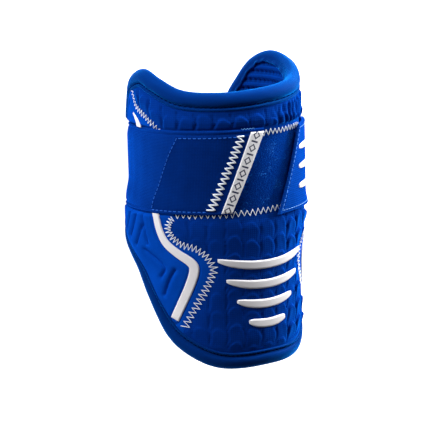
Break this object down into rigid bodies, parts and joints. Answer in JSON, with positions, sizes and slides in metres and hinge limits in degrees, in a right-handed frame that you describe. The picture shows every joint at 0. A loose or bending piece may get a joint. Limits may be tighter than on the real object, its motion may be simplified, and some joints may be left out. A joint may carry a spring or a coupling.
{
  "type": "baseball elbow guard",
  "caption": "Padded batter's elbow guard that wraps most of the way round the arm, with a stitched shield over the elbow's point and an elastic strap across the open back.",
  "frame": {"origin": "middle of the bounding box's bottom face, on the surface that the guard lies on", "axes": "+Y up the arm, from the elbow's point towards the ears; +Z out of the guard's front; +X to the right when looking at the front with +Y up"},
  "size_m": [0.1274, 0.2138, 0.1061],
  "materials": {
    "lining": "honeycomb spacer mesh",
    "foam": "closed-cell padding foam, covered",
    "binding": "smooth stretch knit over a padded edge, stitched",
    "shield": "knit bonded over a moulded shell with shallow cells",
    "loop": "brushed loop pile",
    "side_panel": "smooth stretch knit, embossed ribs",
    "stripe": "white moulded strip, satin",
    "strap": "woven elastic with turned edges",
    "label": "white woven strip, no marking",
    "tab": "knit over stiffener, stitched edge",
    "rib": "white raised rubber, satin"
  },
  "bodies": {
    "root": {"lining": "lining", "foam_core": "foam", "edge_binding": "binding", "lower_shield": "shield", "upper_shield": "shield", "loop_panel": "loop", "side_panel_left": "side_panel", "side_panel_right": "side_panel", "stripe_lower_left": "stripe", "stripe_lower_right": "stripe", "stripe_upper_left": "stripe", "stripe_upper_right": "stripe", "strap": "strap", "label_strip": "label", "pull_tab": "tab", "chin_rib_1": "rib", "chin_rib_2": "rib", "chin_rib_3": "rib", "chin_rib_4": "rib", "tab_rib_1": "rib", "tab_rib_2": "rib", "tab_rib_3": "rib"}
  },
  "joints": []
}
